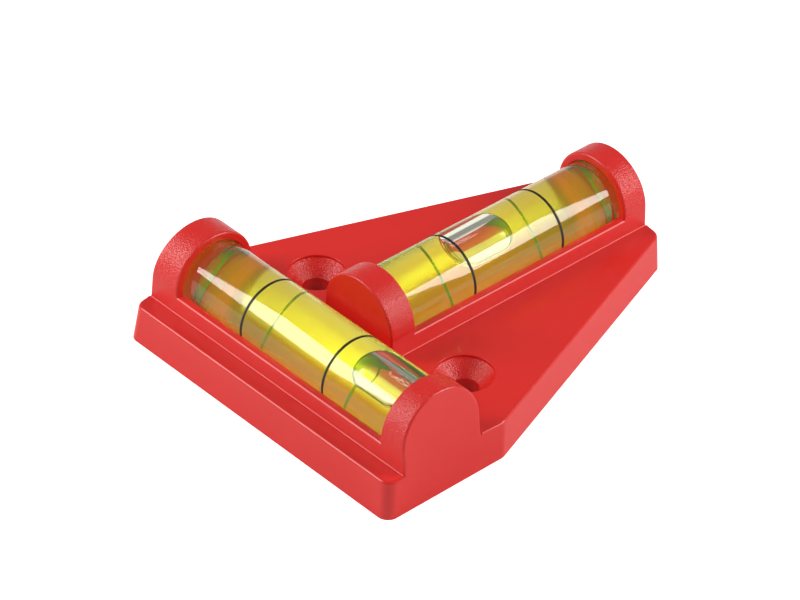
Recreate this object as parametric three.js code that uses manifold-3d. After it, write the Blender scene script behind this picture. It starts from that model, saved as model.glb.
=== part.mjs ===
// Two-way spirit level: a red moulded housing that holds two clear vials at right angles.
// Millimetres. X runs along the cross vial, Y from the wide front edge to the narrow far end, Z up.
// The origin is on the resting plane, at the middle of the housing's footprint.

import * as THREE from 'three';
import { mergeVertices } from 'three/addons/utils/BufferGeometryUtils.js';
import Module from 'manifold-3d';

const wasm = await Module();
wasm.setup();

// Footprint of the housing
const width = 70;
const depth = 88.3;
const stripDepth = 27.3;
const farWidth = 26;
const frontCornerRadius = 2.2;
const taperCornerRadius = 1.5;
const farCornerRadius = 2.6;

// Base of the housing: each side leans in by this much between the foot and the top face
const baseHeight = 7.3;
const frontLean = 0.95;
const sideLean = 0.78;
const taperLean = 0.47;
const farLean = 0.3;
const topEdgeRadius = 0.5;

// Vials: each reaches from one end wall of the housing to the other
const vialDiameter = 14.5;
const crossEndWall = 6;
const farEndWall = 2.3;
const longVialFromFront = 28;
const vialWall = 2.05;
const closedEndThickness = 1.2;
const plugLength = 4.6;
const plugFit = 0.05;
const cavityCrown = 0.12;
const axisHeight = 11.5;
const crossAxisFromFront = 13.6;
const ringSpacing = 21.8;
const ringWidth = 0.8;
const ringThickness = 0.08;
const ringGap = 0.03;
const liquidGap = 0.05;

// Bubbles: one size in both vials, resting where the photograph shows them
const bubbleLength = 14.2;
const bubbleWidth = 8.2;
const bubbleHeight = 4.4;
const bubbleRoundHeight = 5.4;
const bubbleCeilingGap = 0.12;
const bubbleRunningGap = 0.1;
const crossBubbleEndGap = 0.3;
const longBubbleOffset = 4.4;

// End bosses, which close over the ends of the vials
const bossWall = 1.65;
const leftBossCover = 2.4;
const rightBossCover = 1.3;
const nearBossCover = 2.2;
const nearBossCap = 3.65;
const farBossCover = 3.9;
const bossOuterEdgeRadius = 0.45;
const bossInnerEdgeRadius = 0.5;
const bossEmbed = 1;
const bossSetback = 0.05;
const footFillet = 0.5;
const footSink = 0.03;

// Cradle walls between the bosses, and the channels that the vials lie in
const cradleTopDrop = 0.63;
const cradleSetback = 0.05;
const cradleEdgeRadius = 0.3;
const cradleOverlap = 0.9;
const channelGap = 0.15;
const vialEndGap = 0.15;

// Inside of the housing
const sideWall = 2;
const topPlate = 2.3;
const innerCornerRadius = 0.8;
const channelWall = 1.3;
const ribThickness = 1.4;
const ribPlaceShares = [0.5, 0.72];

// Countersunk fixing holes
const holeAside = 19.8;
const holeFromFront = 32;
const holeRimDiameter = 10.8;
const holeLip = 0.6;
const holeDiameter = 5.5;
const holePostDiameter = 11.4;
const countersinkDepth = 2.7;

// Base plate, which closes the housing, carries the vials on four saddles and has a window under each vial
const plateThickness = 1.6;
const plateGap = 0.2;
const plateSeatGap = 0.05;
const windowEndMargin = 4.5;
const crossWindowFrontReach = 9.5;
const crossWindowBackReach = 11;
const longWindowReach = 11;
const saddleHeight = 6.2;
const saddleGap = 0.15;

// Fineness of the curved surfaces, and one overrun for every cut
const vialSegments = 56;
const bossSegments = 30;
const edgeSegments = 3;
const cornerSegments = 5;
const holeSegments = 40;
const cavityStations = 8;
const bubbleRings = 12;
const bubbleSegments = 32;
const flatPasses = 8;
const overrun = 1;
const weldDistance = 0.0001;
const sliverSize = 0.008;

// Sizes that follow from those above
const vialRadius = vialDiameter / 2;
const crossVialLength = width - 2 * crossEndWall;
const longVialLength = depth - longVialFromFront - farEndWall;
const cavityRadius = vialRadius - vialWall;
const bossRadius = vialRadius + bossWall;
const channelRadius = vialRadius + channelGap;
const cradleTop = axisHeight - cradleTopDrop;
const innerCeiling = baseHeight - topPlate;
const frontEdge = -depth / 2;
const crossAxis = frontEdge + crossAxisFromFront;
const longVialMiddle = longVialFromFront + longVialLength / 2;
const longMiddle = frontEdge + longVialMiddle;
const holeY = frontEdge + holeFromFront;
const plateTop = plateThickness + plateSeatGap;

function closedSolid(geometry) {
  const bare = geometry.clone();
  for (const name of Object.keys(bare.attributes)) {
    if (name !== 'position') bare.deleteAttribute(name);
  }
  const merged = mergeVertices(bare, weldDistance);
  const index = merged.index.array;
  const triangles = [];
  for (let i = 0; i < index.length; i += 3) {
    const [a, b, c] = [index[i], index[i + 1], index[i + 2]];
    if (a !== b && b !== c && c !== a) triangles.push(a, b, c);
  }
  const mesh = new wasm.Mesh({
    numProp: 3,
    vertProperties: new Float32Array(merged.attributes.position.array),
    triVerts: new Uint32Array(triangles),
  });
  return new wasm.Manifold(mesh);
}

// Points and triangles of a solid, with every edge too short to matter drawn together
function drawnTogether(mesh) {
  const points = [];
  for (let i = 0; i < mesh.vertProperties.length; i += 3) {
    points.push(new THREE.Vector3().fromArray(mesh.vertProperties, i));
  }
  const stand = points.map((_, i) => i);
  const standFor = (i) => (stand[i] === i ? i : standFor(stand[i]));
  const corners = Array.from(mesh.triVerts);
  corners.forEach((a, i) => {
    const b = corners[i % 3 === 2 ? i - 2 : i + 1];
    const [low, high] = [standFor(a), standFor(b)].sort((m, n) => m - n);
    if (low !== high && points[low].distanceTo(points[high]) < sliverSize) stand[high] = low;
  });
  const triangles = [];
  for (let i = 0; i < corners.length; i += 3) {
    const [a, b, c] = corners.slice(i, i + 3).map(standFor);
    if (a !== b && b !== c && c !== a) triangles.push([a, b, c]);
  }
  return { points, triangles };
}

// A triangle's corners with its longest edge first, and its height over that edge
function longestFirst(points, corners) {
  const turns = [0, 1, 2].map((k) => [0, 1, 2].map((n) => corners[(n + k) % 3]));
  const length = ([a, b]) => points[a].distanceTo(points[b]);
  const turned = turns.reduce((best, turn) => (length(turn) > length(best) ? turn : best));
  const [a, b, c] = turned.map((i) => points[i]);
  const area = b.clone().sub(a).cross(c.clone().sub(a)).length() / 2;
  return { turned, height: (2 * area) / a.distanceTo(b) };
}

// Gives each triangle too flat to matter away to its neighbour across its longest edge
function withoutFlats(points, triangles) {
  const edgeName = (a, b) => `${a} ${b}`;
  const owner = new Map();
  triangles.forEach((corners, i) => corners.forEach((a, k) => {
    owner.set(edgeName(a, corners[(k + 1) % 3]), i);
  }));
  const done = new Set();
  triangles.forEach((corners, i) => {
    const { turned: [a, b, c], height } = longestFirst(points, corners);
    const other = owner.get(edgeName(b, a));
    if (height >= sliverSize || done.has(i) || done.has(other)) return;
    const d = triangles[other].find((corner) => corner !== a && corner !== b);
    if (owner.has(edgeName(c, d)) || owner.has(edgeName(d, c))) return;
    const halves = [[a, d, c], [d, b, c]];
    if (halves.some((half) => longestFirst(points, half).height <= height)) return;
    [triangles[i], triangles[other]] = halves;
    done.add(i).add(other);
    owner.set(edgeName(c, d), i).set(edgeName(d, c), i);
  });
  return done.size;
}

function geometryOf(solid) {
  const { points, triangles } = drawnTogether(solid.getMesh());
  let changed = withoutFlats(points, triangles);
  for (let pass = 0; pass < flatPasses && changed > 0; pass += 1) {
    changed = withoutFlats(points, triangles);
  }
  const geometry = new THREE.BufferGeometry().setFromPoints(points);
  geometry.setIndex(triangles.flat());
  const flat = geometry.toNonIndexed();
  flat.computeVertexNormals();
  return flat;
}

// Joins a row of closed loops with equal point counts into one closed solid.
// The loops run anticlockwise seen from the far end of the row.
function loft(loops) {
  const count = loops[0].length;
  const points = loops.flat();
  const index = [];
  for (let row = 0; row + 1 < loops.length; row += 1) {
    for (let i = 0; i < count; i += 1) {
      const next = (i + 1) % count;
      const a = row * count + i;
      const b = row * count + next;
      index.push(a, b, a + count, b, b + count, a + count);
    }
  }
  for (const [row, turned] of [[0, true], [loops.length - 1, false]]) {
    const middle = points.length;
    const centre = new THREE.Vector3();
    loops[row].forEach((point) => centre.addScaledVector(point, 1 / count));
    points.push(centre);
    for (let i = 0; i < count; i += 1) {
      const a = row * count + i;
      const b = row * count + ((i + 1) % count);
      index.push(...(turned ? [middle, b, a] : [middle, a, b]));
    }
  }
  const geometry = new THREE.BufferGeometry().setFromPoints(points);
  geometry.setIndex(index);
  return geometry;
}

// A box from its lowest to its highest corner
function box(x0, x1, y0, y1, z0, z1) {
  const geometry = new THREE.BoxGeometry(x1 - x0, y1 - y0, z1 - z0);
  geometry.translate((x0 + x1) / 2, (y0 + y1) / 2, (z0 + z1) / 2);
  return closedSolid(geometry);
}

// An upright round shape from a profile of [radius, height] points
function uprightLathe(profile, x, y, segments) {
  const geometry = new THREE.LatheGeometry(profile.map(([r, z]) => new THREE.Vector2(r, z)), segments);
  geometry.rotateX(Math.PI / 2);
  geometry.translate(x, y, 0);
  return closedSolid(geometry);
}

// A round shape lying along X from a profile of [place along X, radius] points
function lyingLathe(profile, segments, middle = 0, height = 0) {
  const geometry = new THREE.LatheGeometry(profile.map(([x, r]) => new THREE.Vector2(r, x)), segments);
  geometry.rotateZ(-Math.PI / 2);
  geometry.translate(middle, 0, height);
  return closedSolid(geometry);
}

// A solid after a move and turn given by a matrix
function moved(solid, matrix) {
  const { vertProperties, triVerts } = solid.getMesh();
  const geometry = new THREE.BufferGeometry();
  geometry.setAttribute('position', new THREE.BufferAttribute(new Float32Array(vertProperties), 3));
  geometry.setIndex(Array.from(triVerts));
  geometry.applyMatrix4(matrix);
  return closedSolid(geometry);
}

// Moves a solid that lies along X about the cross vial's axis to its place
function alongX(solid) {
  return moved(solid, new THREE.Matrix4().makeTranslation(0, crossAxis, 0));
}

// Turns a solid that lies along X from the front edge to lie along Y on the housing's middle line
function alongY(solid) {
  const turn = new THREE.Matrix4().makeRotationZ(Math.PI / 2);
  return moved(solid, turn.setPosition(0, frontEdge, 0));
}

// The housing's outline at height z, drawn in by inset all round
function housingOutline(z, inset) {
  const share = z / baseHeight;
  const taperRun = new THREE.Vector2((width - farWidth) / 2, depth - stripDepth);
  const taperNormal = new THREE.Vector2(taperRun.y, taperRun.x).normalize();
  const half = width / 2;
  const strip = frontEdge + stripDepth;
  const sides = [
    { normal: new THREE.Vector2(0, -1), at: [0, frontEdge], lean: frontLean },
    { normal: new THREE.Vector2(1, 0), at: [half, 0], lean: sideLean },
    { normal: taperNormal, at: [half, strip], lean: taperLean },
    { normal: new THREE.Vector2(0, 1), at: [0, frontEdge + depth], lean: farLean },
    { normal: new THREE.Vector2(-taperNormal.x, taperNormal.y), at: [-half, strip], lean: taperLean },
    { normal: new THREE.Vector2(-1, 0), at: [-half, 0], lean: sideLean },
  ];
  const radii = [
    frontCornerRadius, taperCornerRadius, farCornerRadius,
    farCornerRadius, taperCornerRadius, frontCornerRadius,
  ];
  const loop = [];
  sides.forEach((side, i) => {
    const next = sides[(i + 1) % sides.length];
    const radius = Math.max(radii[i] - inset, innerCornerRadius);
    const reach = (s) => s.normal.dot(new THREE.Vector2(...s.at)) - s.lean * share - inset - radius;
    const [n, m] = [side.normal, next.normal];
    const cross = n.x * m.y - n.y * m.x;
    const centre = new THREE.Vector2(
      (reach(side) * m.y - reach(next) * n.y) / cross,
      (reach(next) * n.x - reach(side) * m.x) / cross,
    );
    const from = n.angle();
    const turn = (m.angle() - from + 2 * Math.PI) % (2 * Math.PI);
    for (let k = 0; k <= cornerSegments; k += 1) {
      const angle = from + (turn * k) / cornerSegments;
      const [x, y] = [radius * Math.cos(angle), radius * Math.sin(angle)];
      loop.push(new THREE.Vector3(centre.x + x, centre.y + y, z));
    }
  });
  return loop;
}

// Insets and rises of a quarter-round edge
function roundedEdge(radius) {
  return Array.from({ length: edgeSegments + 1 }, (_, i) => {
    const angle = (Math.PI / 2) * (i / edgeSegments);
    return { inset: radius * (1 - Math.cos(angle)), rise: radius * Math.sin(angle) };
  });
}

function baseBlock() {
  const shoulder = baseHeight - topEdgeRadius;
  const edge = roundedEdge(topEdgeRadius).map(({ inset, rise }) => housingOutline(shoulder + rise, inset));
  return closedSolid(loft([housingOutline(0, 0), ...edge]));
}

// Half outline of a boss or cradle foot: a small fillet that runs out onto the base's top face
function footPoints(halfWidth) {
  const foot = baseHeight - footSink;
  const points = [[halfWidth + footFillet, baseHeight - bossEmbed], [halfWidth + footFillet, foot]];
  for (let i = 1; i <= edgeSegments; i += 1) {
    const angle = (Math.PI / 2) * (i / edgeSegments);
    points.push([
      halfWidth + footFillet * (1 - Math.sin(angle)),
      foot + footFillet * (1 - Math.cos(angle)),
    ]);
  }
  return points;
}

// Arch outline of a boss, as [aside, height] points, drawn in by inset
function archOutline(inset) {
  const radius = bossRadius - inset;
  const foot = footPoints(radius);
  const arch = Array.from({ length: bossSegments + 1 }, (_, i) => {
    const angle = Math.PI * (i / bossSegments);
    return [radius * Math.cos(angle), axisHeight + radius * Math.sin(angle)];
  });
  const otherFoot = foot.map(([aside, z]) => [-aside, z]).reverse();
  return [...foot, ...arch, ...otherFoot];
}

// A boss along X from the inner face at x = inner to a face that leans like the housing's side.
// outerAt gives the place of the outer face at height z.
function bossSolid(inner, outerAt, innerRadius, outerRadius) {
  const sign = Math.sign(outerAt(baseHeight) - inner);
  const innerEdge = roundedEdge(innerRadius).reverse();
  const outerEdge = roundedEdge(outerRadius);
  const innerLoops = innerEdge.map(({ inset, rise }) =>
    archOutline(inset).map(([y, z]) => new THREE.Vector3(inner + sign * (innerRadius - rise), y, z)));
  const outerLoops = outerEdge.map(({ inset, rise }) =>
    archOutline(inset).map(([y, z]) =>
      new THREE.Vector3(outerAt(z) - sign * (outerRadius - rise), y, z)));
  const loops = [...innerLoops, ...outerLoops];
  if (sign < 0) loops.reverse();
  return closedSolid(loft(loops));
}

// One cradle wall along X from x = start to x = end, on the side of the axis that side gives as 1 or -1
function cradleWall(start, end, side) {
  const outside = bossRadius - cradleSetback;
  const inside = channelRadius - cradleSetback;
  const shoulder = cradleTop - cradleEdgeRadius;
  const corner = roundedEdge(cradleEdgeRadius).map(({ inset, rise }) => [outside - inset, shoulder + rise]);
  const section = [
    [inside, baseHeight - bossEmbed], ...footPoints(outside), ...corner, [inside, cradleTop],
  ];
  const outline = new THREE.Shape(section.map(([aside, z]) => new THREE.Vector2(side * aside, z)));
  const wall = new THREE.ExtrudeGeometry(outline, { depth: end - start, bevelEnabled: false });
  const lying = new THREE.Matrix4().makeBasis(
    new THREE.Vector3(0, 1, 0), new THREE.Vector3(0, 0, 1), new THREE.Vector3(1, 0, 0),
  );
  wall.applyMatrix4(lying);
  wall.translate(start, 0, 0);
  return closedSolid(wall);
}

function cradleWalls(start, end) {
  return cradleWall(start, end, 1).add(cradleWall(start, end, -1));
}

// The space a vial needs along X: round above the axis, straight-sided down to the open foot
function channel(middle, vialLength) {
  const half = vialLength / 2 + vialEndGap;
  const round = lyingLathe(
    [[-half, 0], [-half, channelRadius], [half, channelRadius], [half, 0]],
    vialSegments, middle, axisHeight,
  );
  return round.add(box(middle - half, middle + half, -channelRadius, channelRadius, -overrun, axisHeight));
}

// Bosses and cradle walls of the cross vial, about its own axis
function crossHolder() {
  const lean = sideLean / baseHeight;
  const leftInner = leftBossCover - crossVialLength / 2;
  const rightInner = crossVialLength / 2 - rightBossCover;
  const outerAt = (z) => width / 2 - bossSetback - lean * z;
  const right = bossSolid(rightInner, outerAt, bossInnerEdgeRadius, bossOuterEdgeRadius);
  const left = bossSolid(leftInner, (z) => -outerAt(z), bossInnerEdgeRadius, bossOuterEdgeRadius);
  return right.add(left).add(cradleWalls(leftInner - cradleOverlap, rightInner + cradleOverlap));
}

// Bosses and cradle walls of the long vial, lying along X from the housing's front edge
function longHolder() {
  const nearInner = longVialFromFront + nearBossCover;
  const nearFace = longVialFromFront - nearBossCap;
  const farFace = (z) => depth - bossSetback - (farLean * z) / baseHeight;
  const farInner = longVialFromFront + longVialLength - farBossCover;
  const near = bossSolid(nearInner, () => nearFace, bossInnerEdgeRadius, bossOuterEdgeRadius);
  const far = bossSolid(farInner, farFace, bossInnerEdgeRadius, bossOuterEdgeRadius);
  return near.add(far).add(cradleWalls(nearInner - cradleOverlap, farInner + cradleOverlap));
}

function fixingHole(x) {
  const rim = holeRimDiameter / 2;
  const bore = holeDiameter / 2;
  const lipFoot = baseHeight - holeLip;
  return uprightLathe([
    [0, -overrun], [bore, -overrun], [bore, lipFoot - countersinkDepth],
    [rim, lipFoot], [rim, baseHeight + overrun], [0, baseHeight + overrun],
  ], x, holeY, holeSegments);
}

// The space under both vials between their saddles, from z = low to z = top, wider all round by wall
function windows(low, top, wall = 0) {
  const crossHalf = crossVialLength / 2 - windowEndMargin + wall;
  const longHalf = longVialLength / 2 - windowEndMargin + wall;
  const front = crossAxis - crossWindowFrontReach - wall;
  const back = crossAxis + crossWindowBackReach + wall;
  const reach = longWindowReach + wall;
  const cross = box(-crossHalf, crossHalf, front, back, low, top);
  const long = box(-reach, reach, longMiddle - longHalf, longMiddle + longHalf, low, top);
  return cross.add(long);
}

// What stays inside the hollow base: walls round the channels and the windows, screw posts and ribs,
// all clear of the windows themselves
function innerFrame() {
  const reach = channelRadius + channelWall;
  const [crossHalf, longHalf] = [crossVialLength, longVialLength].map(
    (vialLength) => vialLength / 2 + vialEndGap + channelWall,
  );
  const top = innerCeiling + overrun;
  const cross = box(-crossHalf, crossHalf, crossAxis - reach, crossAxis + reach, plateTop, top);
  const long = box(-reach, reach, longMiddle - longHalf, longMiddle + longHalf, plateTop, top);
  let frame = cross.add(long).add(windows(plateTop, top, channelWall));
  const post = holePostDiameter / 2;
  for (const x of [-holeAside, holeAside]) {
    frame = frame.add(uprightLathe(
      [[0, plateTop], [post, plateTop], [post, top], [0, top]], x, holeY, holeSegments,
    ));
  }
  for (const share of ribPlaceShares) {
    const y = frontEdge + depth * share;
    frame = frame.add(box(-width, width, y - ribThickness / 2, y + ribThickness / 2, plateTop, top));
  }
  return frame.subtract(windows(-overrun, top + overrun));
}

function housingHollow() {
  const hollow = closedSolid(loft([
    housingOutline(-overrun, sideWall),
    housingOutline(innerCeiling, sideWall),
  ]));
  return hollow.subtract(innerFrame());
}

function housing() {
  return baseBlock()
    .add(alongX(crossHolder()))
    .add(alongY(longHolder()))
    .subtract(housingHollow())
    .subtract(alongX(channel(0, crossVialLength)))
    .subtract(alongY(channel(longVialMiddle, longVialLength)))
    .subtract(fixingHole(-holeAside))
    .subtract(fixingHole(holeAside));
}

// Two saddles along X under the ends of a vial, rounded to the vial
function saddles(middle, vialLength) {
  const reach = channelRadius - plateGap;
  const end = vialLength / 2 + vialEndGap - plateGap;
  const start = vialLength / 2 - windowEndMargin;
  const blocks = [-1, 1].map((side) => {
    const ends = [side * start, side * end].sort((a, b) => a - b);
    return box(middle + ends[0], middle + ends[1], -reach, reach, plateThickness / 2, saddleHeight);
  });
  const seat = vialRadius + saddleGap;
  const reachAlong = end + overrun;
  const round = lyingLathe(
    [[-reachAlong, 0], [-reachAlong, seat], [reachAlong, seat], [reachAlong, 0]],
    vialSegments, middle, axisHeight,
  );
  return blocks[0].add(blocks[1]).subtract(round);
}

function basePlate() {
  const sheet = closedSolid(loft([
    housingOutline(0, sideWall + plateGap),
    housingOutline(plateThickness, sideWall + plateGap),
  ]));
  let plate = sheet
    .add(alongX(saddles(0, crossVialLength)))
    .add(alongY(saddles(longVialMiddle, longVialLength)))
    .subtract(windows(-overrun, plateThickness + overrun));
  const bore = holeDiameter / 2;
  const top = plateThickness + overrun;
  for (const x of [-holeAside, holeAside]) {
    plate = plate.subtract(uprightLathe(
      [[0, -overrun], [bore, -overrun], [bore, top], [0, top]], x, holeY, holeSegments,
    ));
  }
  return plate;
}

// Cavity of a vial lying along X about its own middle, widest there, with its plug end towards -X
function vialCavity(vialLength) {
  const half = vialLength / 2;
  const start = -half + plugLength;
  const end = half - closedEndThickness;
  const profile = (gap) => Array.from({ length: cavityStations + 1 }, (_, i) => {
    const x = start + gap + ((end - start - 2 * gap) * i) / cavityStations;
    return [x, cavityRadius - cavityCrown * (x / half) ** 2 - gap];
  });
  return { half, start, end, profile };
}

function vialBarrel({ half, end, profile }) {
  const bore = profile(0);
  const mouth = bore[0][1];
  return lyingLathe([
    [-half, mouth], [-half, vialRadius], [half, vialRadius], [half, 0], [end, 0],
    ...bore.reverse(), [-half, mouth],
  ], vialSegments);
}

function vialPlug({ half, start, profile }) {
  const radius = profile(0)[0][1] - plugFit;
  return lyingLathe([[-half, 0], [-half, radius], [start, radius], [start, 0]], vialSegments);
}

// The bubble's cross-section is an ellipse that the ceiling of the cavity cuts off,
// low enough for the ends of the cavity, where it is narrowest
const bubbleTop = cavityRadius - cavityCrown - bubbleCeilingGap;
const bubbleMiddle = bubbleTop - bubbleHeight + bubbleRoundHeight / 2;

function bubbleShape() {
  const halfWidth = bubbleWidth / 2;
  const straight = bubbleLength - bubbleWidth;
  const geometry = new THREE.CapsuleGeometry(halfWidth, straight, bubbleRings / 2, bubbleSegments);
  geometry.rotateZ(-Math.PI / 2);
  geometry.scale(1, 1, bubbleRoundHeight / bubbleWidth);
  geometry.translate(0, 0, bubbleMiddle);
  const ceiling = lyingLathe(
    [[-bubbleLength, 0], [-bubbleLength, bubbleTop], [bubbleLength, bubbleTop], [bubbleLength, 0]],
    vialSegments,
  );
  return closedSolid(geometry).intersect(ceiling);
}

// The liquid fills the cavity and leaves an open groove along the top for the bubble to travel in
function vialLiquid({ half, profile }) {
  const sides = profile(liquidGap);
  const first = sides[0][0];
  const last = sides[sides.length - 1][0];
  const body = lyingLathe([[first, 0], ...sides, [last, 0]], vialSegments);
  const halfWidth = bubbleWidth / 2 + bubbleRunningGap;
  const halfHeight = bubbleRoundHeight / 2 + bubbleRunningGap;
  const reach = half + overrun;
  const round = new THREE.CylinderGeometry(halfWidth, halfWidth, 2 * reach, bubbleSegments);
  round.rotateZ(-Math.PI / 2);
  round.scale(1, 1, halfHeight / halfWidth);
  round.translate(0, 0, bubbleMiddle);
  const upper = box(-reach, reach, -halfWidth, halfWidth, bubbleMiddle, vialRadius);
  return body.subtract(closedSolid(round).add(upper));
}

function printedRing(place) {
  const inner = vialRadius + ringGap;
  const outer = inner + ringThickness;
  const half = ringWidth / 2;
  return lyingLathe([
    [place - half, inner], [place - half, outer], [place + half, outer], [place + half, inner],
    [place - half, inner],
  ], vialSegments);
}

function finish(color, roughness, opacity = 1) {
  const clear = opacity < 1;
  return new THREE.MeshStandardMaterial({ color, roughness, metalness: 0, opacity, transparent: clear });
}

const redPlastic = () => finish(0xd92a22, 0.45);
const clearAcrylic = () => finish(0xf2f4e6, 0.05, 0.3);
const yellowLiquid = () => finish(0xe6e02c, 0.05, 0.6);
const air = () => finish(0xf4f8ea, 0.05, 0.4);
const blackInk = () => finish(0x101010, 0.5);

function node(name, solid, material) {
  const mesh = new THREE.Mesh(geometryOf(solid), material);
  mesh.name = name;
  return mesh;
}

// One vial along X about its own middle; bubbleAt gives the bubble's place from the vial's cavity
function vial(name, vialLength, ringNames, bubbleAt) {
  const cavity = vialCavity(vialLength);
  const group = new THREE.Group();
  group.add(node(`${name}_barrel`, vialBarrel(cavity), clearAcrylic()));
  group.add(node(`${name}_plug`, vialPlug(cavity), clearAcrylic()));
  group.add(node(`${name}_liquid`, vialLiquid(cavity), yellowLiquid()));
  const bubble = node(`${name}_bubble`, bubbleShape(), air());
  bubble.position.x = bubbleAt(cavity);
  group.add(bubble);
  ringNames.forEach((ringName, i) => {
    const place = (i - 1 / 2) * ringSpacing;
    group.add(node(`${name}_ring_${ringName}`, printedRing(place), blackInk()));
  });
  return group;
}

const level = new THREE.Group();
level.add(node('housing', housing(), redPlastic()));
level.add(node('base_plate', basePlate(), redPlastic()));

const atClosedEnd = ({ end }) => end - crossBubbleEndGap - bubbleLength / 2;
const crossVial = vial('cross_vial', crossVialLength, ['left', 'right'], atClosedEnd);
crossVial.position.set(0, crossAxis, axisHeight);
level.add(crossVial);

// The long vial is turned so that its plug end is at the far end of the housing
const longVial = vial('long_vial', longVialLength, ['far', 'near'], () => longBubbleOffset);
longVial.position.set(0, longMiddle, axisHeight);
longVial.rotation.z = -Math.PI / 2;
level.add(longVial);

export default level;
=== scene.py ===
"""Two-way spirit level: a red moulded housing with a cross vial and a long vial, in a studio.

Metres, in the frame of the CAD part: X along the cross vial, Y from the wide front edge to the
narrow far end, Z up from the resting plane. Every finished piece sits at the origin with its place
in its mesh.
"""

import logging
import math
from collections.abc import Iterable
from dataclasses import dataclass, field
from enum import Enum

import bmesh
import bpy
from bmesh.types import BMEdge, BMesh, BMFace, BMVert
from bpy.types import Material, Mesh, Node, NodeSocket, NodeTree, Object
from mathutils import Matrix, Vector


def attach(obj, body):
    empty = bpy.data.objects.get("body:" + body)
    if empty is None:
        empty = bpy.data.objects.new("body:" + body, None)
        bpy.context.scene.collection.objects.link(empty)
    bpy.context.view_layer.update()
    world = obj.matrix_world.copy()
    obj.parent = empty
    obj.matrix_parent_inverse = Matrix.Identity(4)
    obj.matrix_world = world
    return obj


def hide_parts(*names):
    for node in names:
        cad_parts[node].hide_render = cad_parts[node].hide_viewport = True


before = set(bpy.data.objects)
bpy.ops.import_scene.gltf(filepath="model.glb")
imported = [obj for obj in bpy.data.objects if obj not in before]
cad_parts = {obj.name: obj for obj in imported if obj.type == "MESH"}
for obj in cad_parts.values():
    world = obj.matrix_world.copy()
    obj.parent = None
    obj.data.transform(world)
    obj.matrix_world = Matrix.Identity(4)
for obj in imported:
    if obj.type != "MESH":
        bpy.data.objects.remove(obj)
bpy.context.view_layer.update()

Pair = tuple[float, float]
Profile = list[Pair]
Triple = tuple[float, float, float]
Inputs = dict[int | str, object]

log = logging.getLogger("spirit_level")

MM = 0.001
VIAL_LENGTH = 58 * MM
WELD = 0.001 * MM
FLOAT = "NodeSocketFloat"
COLOUR = "NodeSocketColor"
WHITE = (1, 1, 1, 1)


class Along(Enum):
    """The direction that a vial and its holder lie in."""

    CROSS = "cross"
    LONG = "long"


class Combine(Enum):
    """How a solid is put together with another one."""

    JOIN = "UNION"
    CUT = "DIFFERENCE"


class Region(Enum):
    """Where a face of the housing lies, in the order of its material slots."""

    SMOOTH = 0
    GRAINED = 1
    # The vial bed carries the painted red glow.
    VIAL_BED = 2


class Wall(Enum):
    """What a face of a vial's acrylic borders on, in the order of its material slots."""

    AIR = 0
    LIQUID = 1
    CEMENT = 2
    FOOT = 3


def new_object(name: str, mesh: Mesh) -> Object:
    """Links a new object that holds a mesh.

    Args:
        name: the object's name.
        mesh: the mesh it holds.

    Returns:
        The linked object.
    """
    obj = bpy.data.objects.new(name, mesh)
    bpy.context.scene.collection.objects.link(obj)
    return obj


def to_object(bm: BMesh, name: str) -> Object:
    """Turns a bmesh into a linked object and frees the bmesh.

    Args:
        bm: the finished bmesh.
        name: the object's name.

    Returns:
        The linked object.
    """
    mesh = bpy.data.meshes.new(name)
    bm.to_mesh(mesh)
    bm.free()
    return new_object(name, mesh)


def apply_modifiers(obj: Object) -> None:
    """Replaces an object's mesh with the one its modifiers make, and removes them.

    Args:
        obj: the object.
    """
    graph = bpy.context.evaluated_depsgraph_get()
    graph.update()
    mesh = bpy.data.meshes.new_from_object(obj.evaluated_get(graph))
    old = obj.data
    obj.modifiers.clear()
    obj.data = mesh
    bpy.data.meshes.remove(old)


def combine(obj: Object, other: Object, how: Combine) -> None:
    """Joins another solid to an object, or cuts it away, and removes that solid.

    Args:
        obj: the object that is kept.
        other: the solid that is joined or cut away.
        how: whether it is joined or cut away.
    """
    modifier = obj.modifiers.new("combine", "BOOLEAN")
    modifier.operation = how.value
    modifier.solver = "EXACT"
    modifier.object = other
    apply_modifiers(obj)
    mesh = other.data
    bpy.data.objects.remove(other)
    bpy.data.meshes.remove(mesh)


def cover(obj: Object, *materials: Material) -> None:
    """Fills an object's material slots in order."""
    for material in materials:
        obj.data.materials.append(material)


def direction(azimuth: float, elevation: float) -> Vector:
    """Unit vector from the object towards a place round it.

    Args:
        azimuth: degrees round from the front edge towards the right.
        elevation: degrees above the floor.

    Returns:
        The vector.
    """
    a, e = math.radians(azimuth), math.radians(elevation)
    return Vector((math.sin(a) * math.cos(e), -math.cos(a) * math.cos(e), math.sin(e)))


def face_of(bm: BMesh, points: Iterable[Vector]) -> BMFace:
    """Makes one face from its corner points.

    Args:
        bm: the bmesh that gets the face.
        points: the corners in order.

    Returns:
        The new face.
    """
    return bm.faces.new([bm.verts.new(point) for point in points])


def pull(bm: BMesh, face: BMFace, travel: Vector) -> list[BMVert]:
    """Extrudes a face into a closed solid.

    Args:
        bm: the bmesh that holds the face.
        face: the face, which stays as the start of the solid.
        travel: how far and which way the other end moves.

    Returns:
        The vertices of the other end.
    """
    grown = bmesh.ops.extrude_face_region(bm, geom=[face], use_keep_orig=True)
    verts = [item for item in grown["geom"] if isinstance(item, BMVert)]
    bmesh.ops.translate(bm, vec=travel, verts=verts)
    bmesh.ops.recalc_face_normals(bm, faces=bm.faces)
    return verts


def block(low: Iterable[float], high: Iterable[float], name: str) -> Object:
    """Makes a box between two corners.

    Args:
        low: the lowest corner.
        high: the highest corner.
        name: the object's name.

    Returns:
        The box.
    """
    low, high = Vector(low), Vector(high)
    bm = bmesh.new()
    bmesh.ops.create_cube(bm, size=1)
    bmesh.ops.scale(bm, vec=high - low, verts=bm.verts)
    bmesh.ops.translate(bm, vec=(low + high) / 2, verts=bm.verts)
    return to_object(bm, name)


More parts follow.
